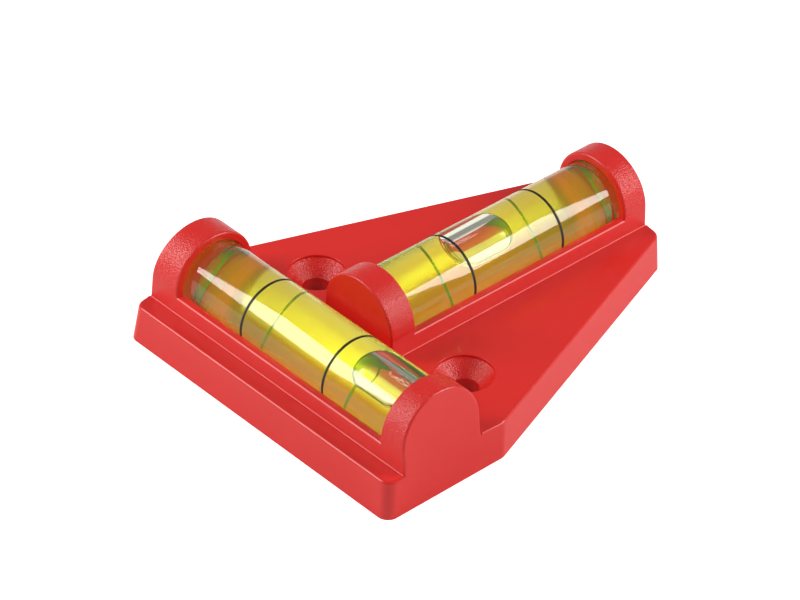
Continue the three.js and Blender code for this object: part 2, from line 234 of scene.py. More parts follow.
def round_edges(
    bm: BMesh, edges: Iterable[BMEdge], offset: float, segments: int, clamp: bool = True
) -> None:
    """Rounds edges.

    Args:
        bm: the bmesh that holds them.
        edges: the edges to round.
        offset: how far the rounding starts from each edge.
        segments: how many facets it has.
        clamp: whether it is kept from running into the next edge.
    """
    bmesh.ops.bevel(
        bm,
        geom=list(edges),
        offset=offset,
        offset_type="OFFSET",
        segments=segments,
        profile=0.5,
        affect="EDGES",
        clamp_overlap=clamp,
        material=-1,
    )


def turn_round_x(profile: Profile, steps: int) -> BMesh:
    """Spins a closed profile of [place along X, radius] points a full turn round the X axis.

    Args:
        profile: the profile's points in order, of which the last joins the first unless both
            lie on the axis.
        steps: how many steps make the turn.

    Returns:
        The closed surface.
    """
    bm = bmesh.new()
    verts = [bm.verts.new((x, 0, r)) for x, r in profile]
    pairs = zip(verts, verts[1:] + verts[:1])
    edges = [bm.edges.new(pair) for pair in pairs if max(vert.co.z for vert in pair) > 0]
    bmesh.ops.spin(
        bm,
        geom=verts + edges,
        cent=(0, 0, 0),
        axis=(1, 0, 0),
        angle=math.tau,
        steps=steps,
        use_merge=True,
        use_duplicate=False,
    )
    bmesh.ops.remove_doubles(bm, verts=bm.verts, dist=WELD)
    bmesh.ops.recalc_face_normals(bm, faces=bm.faces)
    return bm


def rounded_corner(x: float, r: float, turn: float, radius: float, steps: int = 4) -> Profile:
    """Points of a quarter-round between an end face and a cylinder, in [place along X, radius].

    Args:
        x: place of the end face.
        r: radius of the cylinder.
        turn: 1 at the end towards +X, and -1 at the other.
        radius: radius of the rounding.
        steps: how many facets it has.

    Returns:
        The points, from the cylinder to the end face at the +X end, and the other way round at the
        -X end.
    """
    angles = [math.pi / 2 * i / steps for i in range(steps + 1)]
    points = [
        (x - turn * radius * (1 - math.sin(a)), r - radius * (1 - math.cos(a))) for a in angles
    ]
    return points if turn > 0 else points[::-1]


def shade_smooth(obj: Object, sharp_degrees: float) -> None:
    """Shades an object smooth, and keeps edges sharper than an angle.

    Args:
        obj: the object.
        sharp_degrees: the angle past which an edge stays sharp.
    """
    obj.data.shade_smooth()
    obj.data.set_sharp_from_angle(angle=math.radians(sharp_degrees))


# Materials


class Nodes:
    """A node tree, with short calls for adding nodes and setting or linking their inputs."""

    def __init__(self, tree: NodeTree) -> None:
        """Keeps the tree that the calls work on."""
        self.tree = tree

    def add(self, kind: str, inputs: Inputs | None = None, **values: object) -> Node:
        """Adds a node, and sets its properties and then its inputs.

        Args:
            kind: the node's type.
            inputs: a value or another node's output for each input, by name or number.
            values: its properties by name.

        Returns:
            The new node.
        """
        node = self.tree.nodes.new(kind)
        for name, value in values.items():
            setattr(node, name, value)
        self.fill(node, inputs or {})
        return node

    def fill(self, node: Node, inputs: Inputs) -> None:
        """Sets a node's inputs, or links them.

        Args:
            node: the node.
            inputs: a value or another node's output for each input, by name or number.
        """
        for name, value in inputs.items():
            if isinstance(value, NodeSocket):
                self.tree.links.new(value, node.inputs[name])
            else:
                node.inputs[name].default_value = value

    def compute(self, operation: str, first: object, second: object) -> NodeSocket:
        """Adds a calculation with two values or outputs.

        Args:
            operation: the kind of calculation.
            first: its first value or output.
            second: its second value or output.

        Returns:
            The node's output.
        """
        return self.add("ShaderNodeMath", {0: first, 1: second}, operation=operation).outputs[0]


class SharedEffects:
    """Node groups that more than one finish uses, each built once."""

    def __init__(self) -> None:
        """Builds every group."""
        self.mottle = self._mottle()
        self.grain = self._grain()

    @staticmethod
    def _group(
        name: str, inputs: dict[str, str], outputs: dict[str, str]
    ) -> tuple[Nodes, dict[str, NodeSocket], Node]:
        """Makes an empty group with its sockets.

        Args:
            name: the group's name.
            inputs: each input's socket type by name.
            outputs: each output's socket type by name.

        Returns:
            The group's nodes, its inputs and each point's Place by name, and its output node.
        """
        tree = bpy.data.node_groups.new(name, "ShaderNodeTree")
        for side, sockets in (("INPUT", inputs), ("OUTPUT", outputs)):
            for label, kind in sockets.items():
                tree.interface.new_socket(label, in_out=side, socket_type=kind)
        nodes = Nodes(tree)
        start = nodes.add("NodeGroupInput")
        end = nodes.add("NodeGroupOutput")
        place = nodes.add("ShaderNodeTexCoord").outputs["Object"]
        return nodes, {"Place": place, **{label: start.outputs[label] for label in inputs}}, end

    def _mottle(self) -> NodeTree:
        """Builds the soft drift of colour and roughness over a moulded surface.

        Returns:
            The group's tree.
        """
        outputs = {"Colour": COLOUR, "Roughness": FLOAT}
        inputs = {"Scale": FLOAT, "Deeper": COLOUR, "Spread": FLOAT, **outputs}
        nodes, given, end = self._group("mottle", inputs, outputs)
        pattern = {"Vector": given["Place"], "Scale": given["Scale"], "Detail": 4}
        noise = nodes.add("ShaderNodeTexNoise", pattern).outputs["Fac"]
        colours = {"Factor": noise, "A": given["Colour"], "B": given["Deeper"]}
        blend = nodes.add("ShaderNodeMix", colours, data_type="RGBA")
        centred = nodes.compute("SUBTRACT", noise, 0.5)
        scaled = nodes.compute("MULTIPLY", centred, given["Spread"])
        total = nodes.compute("ADD", scaled, given["Roughness"])
        nodes.fill(end, {"Colour": blend.outputs["Result"], "Roughness": total})
        return nodes.tree

    def _grain(self) -> NodeTree:
        """Builds the height of a moulded grain: fine noise with rounder pits.

        Returns:
            The group's tree.
        """
        inputs = {"Scale": FLOAT, "Pits": FLOAT}
        nodes, given, end = self._group("grain", inputs, {"Height": FLOAT})
        pattern = {"Vector": given["Place"], "Scale": given["Scale"]}
        noise = nodes.add("ShaderNodeTexNoise", {**pattern, "Detail": 2}).outputs["Fac"]
        pits = nodes.add("ShaderNodeTexVoronoi", pattern, feature="SMOOTH_F1").outputs["Distance"]
        heights = {"Factor": given["Pits"], "A": noise, "B": pits}
        mixed = nodes.add("ShaderNodeMix", heights, data_type="FLOAT")
        nodes.fill(end, {"Height": mixed.outputs["Result"]})
        return nodes.tree


def blank_material(name: str) -> tuple[Material, Nodes, Node]:
    """Makes a material with one Principled shader.

    Args:
        name: the material's name.

    Returns:
        The material, its nodes and the shader.
    """
    material = bpy.data.materials.new(name)
    material.use_nodes = True
    return material, Nodes(material.node_tree), material.node_tree.nodes["Principled BSDF"]


@dataclass(frozen=True)
class MouldedPlastic:
    """Moulded plastic with a soft drift of colour and a grain of its own depth."""

    name: str
    colour: Triple
    deeper: Triple
    drift_scale: float = 70.0
    ior: float = 1.5
    roughness: float = 0.38
    spread: float = 0.08
    grain_scale: float = 2600.0
    grain_pits: float = 0.3
    grain_depth: float = 0.004 * MM
    bump: float = 0.5
    # The next two fields give a painted red glow: an emission that rises with height and stands in
    # for light on the faces round and under the vials.
    painted_bed_glow: Triple | None = None
    painted_bed_glow_from: float = 1.6 * MM

    def build(self, effects: SharedEffects) -> Material:
        """Builds the material.

        Args:
            effects: the shared node groups.

        Returns:
            The material.
        """
        material, nodes, shader = blank_material(self.name)
        drift = {
            "Scale": self.drift_scale,
            "Colour": (*self.colour, 1),
            "Deeper": (*self.deeper, 1),
            "Roughness": self.roughness,
            "Spread": self.spread,
        }
        mottle = nodes.add("ShaderNodeGroup", drift, node_tree=effects.mottle)
        pattern = {"Scale": self.grain_scale, "Pits": self.grain_pits}
        grain = nodes.add("ShaderNodeGroup", pattern, node_tree=effects.grain)
        relief = {
            "Strength": self.bump,
            "Distance": self.grain_depth,
            "Height": grain.outputs["Height"],
        }
        looks = {
            "IOR": self.ior,
            "Base Color": mottle.outputs["Colour"],
            "Roughness": mottle.outputs["Roughness"],
            "Normal": nodes.add("ShaderNodeBump", relief).outputs["Normal"],
        }
        nodes.fill(shader, looks)
        if self.painted_bed_glow:
            self._paint_bed_glow(nodes, shader)
        return material

    def _paint_bed_glow(self, nodes: Nodes, shader: Node) -> None:
        """Paints a red glow that stands in for light on the walls round and under the vials, from
        nothing at one height to full at twice that height.

        Args:
            nodes: the material's nodes.
            shader: the material's shader.
        """
        place = nodes.add("ShaderNodeTexCoord").outputs["Object"]
        heights = {
            "Value": nodes.add("ShaderNodeSeparateXYZ", {"Vector": place}).outputs["Z"],
            "From Min": self.painted_bed_glow_from,
            "From Max": self.painted_bed_glow_from * 2,
        }
        rise = nodes.add("ShaderNodeMapRange", heights).outputs["Result"]
        colours = {"Factor": rise, "A": (0, 0, 0, 1), "B": (*self.painted_bed_glow, 1)}
        light = nodes.add("ShaderNodeMix", colours, data_type="RGBA").outputs["Result"]
        nodes.fill(shader, {"Emission Color": light, "Emission Strength": 1})


@dataclass(frozen=True)
class ClearMedium:
    """Clear acrylic, liquid or air, which bends light by the ratio across its surface."""

    name: str
    ratio: float
    tint: Triple = (1, 1, 1)
    roughness: float = 0.0
    absorbed: Triple | None = None
    density: float = 0.0
    # A painted glow: a volume emission that stands in for the dye's fluorescence.
    painted_glow: Triple | None = None
    painted_glow_strength: float = 0.0

    def build(self) -> Material:
        """Builds the material, which lets shadow rays straight through to what lies behind.

        Returns:
            The material.
        """
        material, nodes, shader = blank_material(self.name)
        output = material.node_tree.nodes["Material Output"]
        tint = (*self.tint, 1)
        nodes.fill(shader, {"Base Color": tint, "Roughness": self.roughness})
        nodes.fill(shader, {"IOR": self.ratio, "Transmission Weight": 1})
        ray = nodes.add("ShaderNodeLightPath").outputs
        straight = nodes.compute("MAXIMUM", ray["Is Shadow Ray"], ray["Is Diffuse Ray"])
        clear = nodes.add("ShaderNodeBsdfTransparent", {"Color": tint})
        shaders = {"Fac": straight, 1: shader.outputs["BSDF"], 2: clear.outputs["BSDF"]}
        mix = nodes.add("ShaderNodeMixShader", shaders)
        nodes.fill(output, {"Surface": mix.outputs["Shader"]})
        if self.absorbed:
            self._fill(nodes, output)
        return material

    def _fill(self, nodes: Nodes, output: Node) -> None:
        """Gives the inside its colour, and a faint painted glow, an emission that stands in for the
        dye's fluorescence.

        Args:
            nodes: the material's nodes.
            output: the material's output node.
        """
        dye = {"Color": (*self.absorbed, 1), "Density": self.density}
        absorption = nodes.add("ShaderNodeVolumeAbsorption", dye)
        volume = absorption.outputs["Volume"]
        if self.painted_glow:
            light = {"Color": (*self.painted_glow, 1), "Strength": self.painted_glow_strength}
            emission = nodes.add("ShaderNodeEmission", light).outputs["Emission"]
            volume = nodes.add("ShaderNodeAddShader", {0: volume, 1: emission}).outputs["Shader"]
        nodes.fill(output, {"Volume": volume})


class Finishes:
    """Every material of the object, built once."""

    ACRYLIC = 1.49
    LIQUID = 1.36
    MATCHED = 1.0

    def __init__(self) -> None:
        """Builds the materials."""
        effects = SharedEffects()
        red = (0.77, 0.019, 0.014)
        deeper = (0.71, 0.016, 0.012)
        smooth = MouldedPlastic("red_plastic_smooth", red, deeper, roughness=0.3)
        self.red_smooth = smooth.build(effects)
        self.red_grained = MouldedPlastic(
            "red_plastic_grained",
            red,
            deeper,
            roughness=0.28,
            grain_scale=4500,
            grain_pits=0.6,
            grain_depth=0.16 * MM,
            bump=1.0,
        ).build(effects)
        # This bed material carries the painted red glow on the faces round and under the vials.
        self.red_bed_painted_glow = MouldedPlastic(
            "red_plastic_under_vials_painted_glow", red, deeper, roughness=0.35, painted_bed_glow=(0.22, 0.03, 0.006)
        ).build(effects)
        clear = (0.985, 0.99, 0.95)
        outside = ClearMedium("acrylic_to_air", self.ACRYLIC, tint=clear, roughness=0.05)
        acrylic = outside.build()
        foot = ClearMedium("acrylic_matt_foot", self.ACRYLIC, tint=clear, roughness=0.22)
        self.acrylic_foot = foot.build()
        wet = ClearMedium("acrylic_to_liquid", self.ACRYLIC / self.LIQUID).build()
        cemented = ClearMedium("acrylic_cemented", self.MATCHED, tint=(0.97, 0.97, 0.9)).build()
        self.glass = (acrylic, wet, cemented)
        # The liquid carries a painted yellow-green glow besides its dye's tint.
        self.liquid = ClearMedium(
            "vial_liquid",
            self.MATCHED,
            absorbed=(0.905, 0.92, 0.1),
            density=230,
            painted_glow=(0.62, 1.0, 0.06),
            painted_glow_strength=17,
        ).build()
        self.air = ClearMedium("bubble_air", 1 / self.LIQUID).build()
        self.ink = MouldedPlastic(
            "black_ink",
            (0.002, 0.002, 0.002),
            (0.004, 0.004, 0.004),
            roughness=0.6,
            grain_depth=0.002 * MM,
        ).build(effects)


# Housing


@dataclass
class Housing:
    """The red moulded housing: drafted base, end bosses, cradle walls, channels and screw holes."""

    finishes: Finishes
    width: float = 70 * MM
    depth: float = 88.3 * MM
    strip_depth: float = 27.3 * MM
    far_width: float = 26 * MM
    front_corner: float = 2.2 * MM
    taper_corner: float = 3 * MM
    far_corner: float = 2.6 * MM
    base_height: float = 7.3 * MM
    front_lean: float = 0.95 * MM
    side_lean: float = 0.78 * MM
    taper_lean: float = 0.47 * MM
    far_lean: float = 0.3 * MM
    axis_height: float = 11.5 * MM
    boss_radius: float = 8.9 * MM
    channel_radius: float = 7.4 * MM
    cradle_drop: float = 0.63 * MM
    cross_from_front: float = 13.6 * MM
    cross_boss_inner: Pair = (-26.6 * MM, 27.7 * MM)
    cross_channel: float = 29.15 * MM
    near_boss_front: float = 24.35 * MM
    near_boss_inner: float = 30.2 * MM
    far_boss_inner: float = 82.1 * MM
    long_channel: Pair = (27.85 * MM, 86.15 * MM)
    side_wall: float = 2 * MM
    hollow_height: float = 5 * MM
    plate_seat: float = 1.65 * MM
    channel_wall: float = 1.3 * MM
    rib: float = 1.4 * MM
    rib_shares: Pair = (0.5, 0.72)
    post_radius: float = 5.7 * MM
    window_end_margin: float = 4.5 * MM
    cross_window: Pair = (-9.5 * MM, 11 * MM)
    long_window: float = 11 * MM
    hole_aside: float = 19.8 * MM
    hole_from_front: float = 32 * MM
    hole_rim: float = 5.4 * MM
    hole_bore: float = 2.75 * MM
    hole_lip: float = 0.6 * MM
    countersink: float = 2.7 * MM
    overrun: float = 1 * MM
    arch_steps: int = 72
    hole_steps: int = 64
    top_edge: float = 0.5 * MM
    boss_outer_edge: float = 0.45 * MM
    boss_inner_edge: float = 0.5 * MM
    cradle_edge: float = 0.45 * MM
    channel_edge: float = 0.12 * MM
    foot_fillet: float = 0.25 * MM
    foot_sink: float = 0.01 * MM
    foot_steps: int = 6
    rim_edge: float = 0.15 * MM
    bevel_segments: int = 4
    corner_segments: int = 8
    bevel_degrees: float = 20
    smooth_degrees: float = 30
    flat_degrees: float = 0.4
    seam_gap: float = 0.0002 * MM
    weld_gap: float = 0.002 * MM
    edge_margin: float = 0.02 * MM
    bed_margin: float = 0.03 * MM
    margin: float = 0.1 * MM
    cone_rise: float = 0.3

    @property
    def front(self) -> float:
        """Y of the front edge at the foot."""
        return -self.depth / 2

    @property
    def cross_y(self) -> float:
        """Y of the cross vial's axis."""
        return self.front + self.cross_from_front

    @property
    def long_y(self) -> float:
        """Y of the long vial's middle."""
        return self.front + sum(self.long_channel) / 2

    @property
    def cradle_top(self) -> float:
        """Height of the cradle walls."""
        return self.axis_height - self.cradle_drop

    def outline(self, share: float, inset: float = 0.0) -> list[Vector]:
        """Corners of the footprint, without their roundings.

        Args:
            share: height as a share of the base's, from 0 at the foot to 1 at the top face.
            inset: how far the outline is drawn in all round.

        Returns:
            The six corners, anticlockwise from the right end of the front edge.
        """
        run = Vector(((self.width - self.far_width) / 2, self.depth - self.strip_depth))
        taper = Vector((run.y, run.x)).normalized()
        half = self.width / 2
        strip = self.front + self.strip_depth
        far = self.front + self.depth
        sides = [
            (Vector((0, -1)), Vector((0, self.front)), self.front_lean),
            (Vector((1, 0)), Vector((half, 0)), self.side_lean),
            (taper, Vector((half, strip)), self.taper_lean),
            (Vector((0, 1)), Vector((0, far)), self.far_lean),
            (Vector((-taper.x, taper.y)), Vector((-half, strip)), self.taper_lean),
            (Vector((-1, 0)), Vector((-half, 0)), self.side_lean),
        ]
        corners = []
        for (n, at, lean), (m, at2, lean2) in zip(sides, sides[1:] + sides[:1]):
            a = n.dot(at) - lean * share - inset
            b = m.dot(at2) - lean2 * share - inset
            turn = n.x * m.y - n.y * m.x
            corners.append(Vector(((a * m.y - b * n.y) / turn, (b * n.x - a * m.x) / turn)))
        return corners

    def drafted(self, low: float, high: float, inset: float = 0.0) -> BMesh:
        """Makes a prism on the footprint whose sides lean in as the base's do.

        Args:
            low: height of its lower end, which has the size of the foot.
            high: height of its upper end.
            inset: how far it is drawn in all round.

        Returns:
            The prism's bmesh.
        """
        bm = bmesh.new()
        foot = self.outline(0, inset)
        top = self.outline(high / self.base_height, inset)
        face = face_of(bm, [Vector((*corner, low)) for corner in foot])
        for vert in pull(bm, face, Vector((0, 0, high - low))):
            nearest = min(range(len(foot)), key=lambda i: (foot[i] - vert.co.xy).length)
            vert.co.xy = top[nearest]
        return bm

    def base_block(self) -> Object:
        """Makes the drafted base with its rounded upright corners.

        Returns:
            The base.
        """
        bm = self.drafted(0, self.base_height)
        radii = [self.front_corner, self.taper_corner, self.far_corner]
        for corner, radius in zip(self.outline(0), radii + radii[::-1]):
            upright = [
                edge
                for edge in bm.edges
                if abs(edge.verts[0].co.z - edge.verts[1].co.z) > self.base_height / 2
                and min((v.co.xy - corner).length for v in edge.verts) < self.margin
            ]
            sides = [f.normal for f in upright[0].link_faces]
            half_angle = (math.pi - sides[0].angle(sides[1])) / 2
            round_edges(bm, upright, radius / math.tan(half_angle), self.corner_segments)
        return to_object(bm, "housing_base")

    def holder_outline(self) -> Profile:
        """Outline of a boss and its foot across the vial.

        Returns:
            Its points in [aside, height]: a fillet out onto the base on each side, and the arch
            between them.
        """
        foot = self.base_height - self.foot_sink
        side = [(self.boss_radius + self.foot_fillet, self.base_height - self.overrun)]
        for i in range(self.foot_steps + 1):
            angle = math.pi / 2 * i / self.foot_steps
            out = self.foot_fillet * (1 - math.sin(angle))
            side.append((self.boss_radius + out, foot + self.foot_fillet * (1 - math.cos(angle))))
        arch = []
        for i in range(self.arch_steps + 1):
            angle = math.pi * i / self.arch_steps
            height = self.axis_height + self.boss_radius * math.sin(angle)
            arch.append((self.boss_radius * math.cos(angle), height))
        return [*side, *arch, *((-aside, height) for aside, height in reversed(side))]

    def holder(self, start: float, end: float, leans: Pair, gap: Pair) -> Object:
        """Makes a holder along X: an arched prism, cut down to the cradle walls between its bosses.

        Args:
            start: X of its first end at the foot of the housing.
            end: X of its other end at the foot of the housing.
            leans: how far each end leans in over the height of the base.
            gap: X of the two bosses' inner faces.

        Returns:
            The holder.
        """
        bm = bmesh.new()
        face = face_of(bm, [Vector((start, *point)) for point in self.holder_outline()])
        far = pull(bm, face, Vector((end - start, 0, 0)))
        for vert in bm.verts:
            lean = -leans[1] if vert in far else leans[0]
            vert.co.x += lean / self.base_height * vert.co.z
        holder = to_object(bm, "holder")
        wide = self.boss_radius + self.overrun
        low = (gap[0], -wide, self.cradle_top)
        high = (gap[1], wide, self.axis_height + wide)
        combine(holder, block(low, high, "cradle_cut"), Combine.CUT)
        return holder

    def channel(self, start: float, end: float) -> Object:
        """Makes the space of a vial along X: round above its axis and straight down to the foot.

        Args:
            start: X of one end.
            end: X of the other end.

        Returns:
            The cutter.
        """
        bm = bmesh.new()
        first = bm.verts.new((start, self.channel_radius, self.axis_height))
        bmesh.ops.spin(
            bm,
            geom=[first],
            cent=(start, 0, self.axis_height),
            axis=(1, 0, 0),
            angle=math.pi,
            steps=self.arch_steps,
            use_duplicate=False,
        )
        ends = [v for v in bm.verts if len(v.link_edges) == 1]
        grown = bmesh.ops.extrude_vert_indiv(bm, verts=ends)
        drop = self.axis_height + self.overrun
        bmesh.ops.translate(bm, vec=(0, 0, -drop), verts=grown["verts"])
        bm.edges.new(grown["verts"])
        made = bmesh.ops.contextual_create(bm, geom=list(bm.edges))
        pull(bm, made["faces"][0], Vector((end - start, 0, 0)))
        return to_object(bm, "channel")

    def upright(self, profile: Profile, x: float, name: str) -> Object:
        """Makes a round solid that stands on a screw hole's axis.

        Args:
            profile: its points in [height, radius].
            x: the axis's place along X.
            name: the object's name.

        Returns:
            The solid.
        """
        bm = turn_round_x(profile, self.hole_steps)
        turn = Matrix.Rotation(-math.pi / 2, 3, "Y")
        bmesh.ops.rotate(bm, cent=(0, 0, 0), matrix=turn, verts=bm.verts)
        bmesh.ops.translate(bm, vec=(x, self.front + self.hole_from_front, 0), verts=bm.verts)
        return to_object(bm, name)

    def hole(self, x: float) -> Object:
        """Makes the cutter of one countersunk screw hole.

        Args:
            x: the hole's place along X.

        Returns:
            The cutter.
        """
        lip = self.base_height - self.hole_lip
        top = self.base_height + self.overrun
        profile = [
            (-self.overrun, 0),
            (-self.overrun, self.hole_bore),
            (lip - self.countersink, self.hole_bore),
            (lip, self.hole_rim),
            (top, self.hole_rim),
            (top, 0),
        ]
        return self.upright(profile, x, "hole")

    def windows(self, low: float, high: float, wall: float = 0.0) -> list[Object]:
        """Makes the spaces under the two vials that stay clear, or the blocks that wall them in.

        Args:
            low: height of their lower end.
            high: height of their upper end.
            wall: how much wider than the clear space they are all round.

        Returns:
            The solids.
        """
        half = VIAL_LENGTH / 2 - self.window_end_margin + wall
        front = self.cross_y + self.cross_window[0] - wall
        back = self.cross_y + self.cross_window[1] + wall
        aside = self.long_window + wall
        start, end = self.long_y - half, self.long_y + half
        return [
            block((-half, front, low), (half, back, high), "cross_window"),
            block((-aside, start, low), (aside, end, high), "long_window"),
        ]

    def inner_frame(self) -> Object:
        """Makes what stands inside the hollow base, clear of the windows.

        Returns:
            The walls round the vials and the windows, the ribs and the screw posts, in one solid.
        """
        low, high = self.plate_seat, self.hollow_height + self.overrun
        wall = self.channel_wall
        reach = self.channel_radius + wall
        half = self.cross_channel + wall
        start, end = (self.front + place for place in self.long_channel)
        front, back = self.cross_y - reach, self.cross_y + reach
        inner = block((-half, front, low), (half, back, high), "inner_frame")
        solids = [block((-reach, start - wall, low), (reach, end + wall, high), "long_walls")]
        solids += self.windows(low, high, wall)
        for share in self.rib_shares:
            y = self.front + self.depth * share
            near_corner = (-self.width / 2, y - self.rib / 2, low)
            solids.append(block(near_corner, (self.width / 2, y + self.rib / 2, high), "rib"))
        post = [(low, 0), (low, self.post_radius), (high, self.post_radius), (high, 0)]
        solids += [self.upright(post, side * self.hole_aside, "post") for side in (-1, 1)]
        for solid in solids:
            combine(inner, solid, Combine.JOIN)
        for window in self.windows(low - self.overrun, high + self.overrun):
            combine(inner, window, Combine.CUT)
        return inner

    def hollow(self) -> Object:
        """Makes the hollow under the top plate.

        Returns:
            The cutter, without what stands inside the hollow.
        """
        bm = self.drafted(-self.overrun, self.hollow_height, self.side_wall)
        hollow = to_object(bm, "hollow")
        combine(hollow, self.inner_frame(), Combine.CUT)
        return hollow

    def moved(self, obj: Object, along: Along) -> Object:
        """Moves a solid that was made along X to its vial.

        Args:
            obj: the solid, made about the plane Y = 0.
            along: its vial's direction. For the long vial, its X counts from the front edge.

        Returns:
            The solid.
        """
        if along is Along.CROSS:
            matrix = Matrix.Translation((0, self.cross_y, 0))
        else:
            turn = Matrix.Rotation(math.pi / 2, 4, "Z")
            matrix = Matrix.Translation((0, self.front, 0)) @ turn
        obj.data.transform(matrix)
        return obj

    def build(self) -> Object:
        """Builds the housing and dresses it.

        Returns:
            The housing.
        """
        body = self.base_block()
        half = self.width / 2
        leans = (self.side_lean, self.side_lean)
        cross = self.holder(-half, half, leans, self.cross_boss_inner)
        holders = self.moved(cross, Along.CROSS)
        gap = (self.near_boss_inner, self.far_boss_inner)
        long = self.holder(self.near_boss_front, self.depth, (0, self.far_lean), gap)
        combine(holders, self.moved(long, Along.LONG), Combine.JOIN)
        combine(body, self.hollow(), Combine.CUT)
        combine(body, holders, Combine.JOIN)
        cutters = [
            self.moved(self.channel(-self.cross_channel, self.cross_channel), Along.CROSS),
            self.moved(self.channel(*self.long_channel), Along.LONG),
            *(self.hole(side * self.hole_aside) for side in (-1, 1)),
        ]
        for cutter in cutters:
            combine(body, cutter, Combine.CUT)
        self.round_off(body)
        self.mark_regions(body)
        body.name = "housing_shell"
        finishes = self.finishes
        cover(body, finishes.red_smooth, finishes.red_grained, finishes.red_bed_painted_glow)
        return body

    def merge_flats(self, body: Object) -> None:
        """Merges doubled points and flat faces, and closes the cross holder's seams at the sides.

        Args:
            body: the housing.
        """
        bm = bmesh.new()
        bm.from_mesh(body.data)
        reach = self.boss_radius + self.foot_fillet
        for aside in (-reach, reach):
            bmesh.ops.bisect_plane(
                bm,
                geom=[*bm.verts, *bm.edges, *bm.faces],
                dist=self.seam_gap,
                plane_co=(0, self.cross_y + aside, 0),
                plane_no=(0, 1, 0),
            )
        bmesh.ops.remove_doubles(bm, verts=bm.verts, dist=self.weld_gap)
        bmesh.ops.dissolve_limit(
            bm,
            angle_limit=math.radians(self.flat_degrees),
            verts=bm.verts,
            edges=bm.edges,
            delimit={"NORMAL"},
        )
        bm.to_mesh(body.data)
        bm.free()

    def round_off(self, body: Object) -> None:
        """Rounds the housing's edges, each by its own radius.

        Args:
            body: the housing.
        """
        self.merge_flats(body)
        bm = bmesh.new()
        bm.from_mesh(body.data)
        weight = bm.edges.layers.float.new("bevel_weight_edge")
        widest = max(self.boss_outer_edge, self.boss_inner_edge)
        for edge in bm.edges:
            edge[weight] = self.edge_radius(edge) / widest
        bm.to_mesh(body.data)
        bm.free()
        bevel = body.modifiers.new("edges", "BEVEL")
        bevel.limit_method = "WEIGHT"
        bevel.width = widest
        bevel.segments = self.bevel_segments
        bevel.profile = 0.5
        bevel.use_clamp_overlap = False
        bevel.loop_slide = False
        apply_modifiers(body)
        shade_smooth(body, self.smooth_degrees)
        flats = body.modifiers.new("flats", "WEIGHTED_NORMAL")
        flats.mode = "FACE_AREA"
        flats.keep_sharp = True
        apply_modifiers(body)

    def edge_radius(self, edge: BMEdge) -> float:
        """The rounding that an edge gets.

        Args:
            edge: an edge of the housing before its edges are rounded.

        Returns:
            How far its rounding starts from it, or 0 where it stays as it is.
        """
        if edge.calc_face_angle(0) < math.radians(self.bevel_degrees):
            return 0.0
        a, b = (vert.co for vert in edge.verts)
        middle = (a + b) / 2
        near = self.edge_margin
        if abs(a.z - self.base_height) < near and abs(b.z - self.base_height) < near:
            hole = self.hole_distance(middle)
            if hole < self.hole_rim + near:
                return self.rim_edge
            return self.top_edge if edge.is_convex else 0.0
        if middle.z < self.base_height - near:
            return 0.0
        if abs(a.z - self.cradle_top) < near and abs(b.z - self.cradle_top) < near:
            return self.cradle_edge if edge.is_convex and self.outside(middle) else 0.0
        if not edge.is_convex:
            return 0.0
        return self.boss_edge(middle)

    def hole_distance(self, point: Vector) -> float:
        """Distance in plan from a point to the nearer hole's axis."""
        y = self.front + self.hole_from_front
        return (Vector((abs(point.x), point.y)) - Vector((self.hole_aside, y))).length

    def outside(self, point: Vector) -> bool:
        """Whether a point of a cradle's top lies at its outer edge, not at the vial.

        Args:
            point: a point on the edge of a cradle's top.

        Returns:
            True at the outer edge.
        """
        cross_aside = abs(point.y - self.cross_y)
        middle = (self.boss_radius + self.channel_radius) / 2
        left, right = self.cross_boss_inner
        if left < point.x < right and cross_aside < self.boss_radius + self.overrun:
            return cross_aside > middle
        return abs(point.x) > middle

    def holder_reach(self, point: Vector) -> tuple[bool, float]:
        """Which vial's holder a point lies on, and how far it is from that vial's axis.

        Args:
            point: a point on a holder.

        Returns:
            True for the cross vial's, and the distance, taken level below the axis.
        """
        cross_aside = point.y - self.cross_y
        on_cross = abs(cross_aside) < self.boss_radius + self.overrun / 2
        aside = cross_aside if on_cross else point.x
        return on_cross, math.hypot(aside, max(point.z - self.axis_height, 0))

    def boss_edge(self, point: Vector) -> float:
        """The rounding of a boss's edge.

        Args:
            point: the middle of the edge.

        Returns:
            The rounding, larger on the outer face than on the inner one, and small at the vial.
        """
        on_cross, reach = self.holder_reach(point)
        if reach < self.boss_radius - self.overrun / 5:
            return self.channel_edge
        along, faces = point.x, self.cross_boss_inner
        if not on_cross:
            along, faces = point.y - self.front, (self.near_boss_inner, self.far_boss_inner)
        inner = min(abs(along - face) for face in faces) < self.overrun
        return self.boss_inner_edge if inner else self.boss_outer_edge

    def mark_regions(self, body: Object) -> None:
        """Gives every face its region, of which the arches and the countersinks are grained, and
        the faces round and under the vials carry the painted red glow.

        Args:
            body: the housing.
        """
        for face in body.data.polygons:
            centre = face.center
            _, reach = self.holder_reach(centre)
            arch = centre.z > self.cradle_top and reach > self.boss_radius - self.margin
            cone = (
                self.hole_distance(centre) < self.hole_rim
                and centre.z < self.base_height - self.hole_lip
                and face.normal.z > self.cone_rise
            )
            region = Region.GRAINED if arch or cone else Region.SMOOTH
            # Faces round and under the vials get the painted red glow.
            if self.beside_a_vial(centre):
                region = Region.VIAL_BED
            face.material_index = region.value

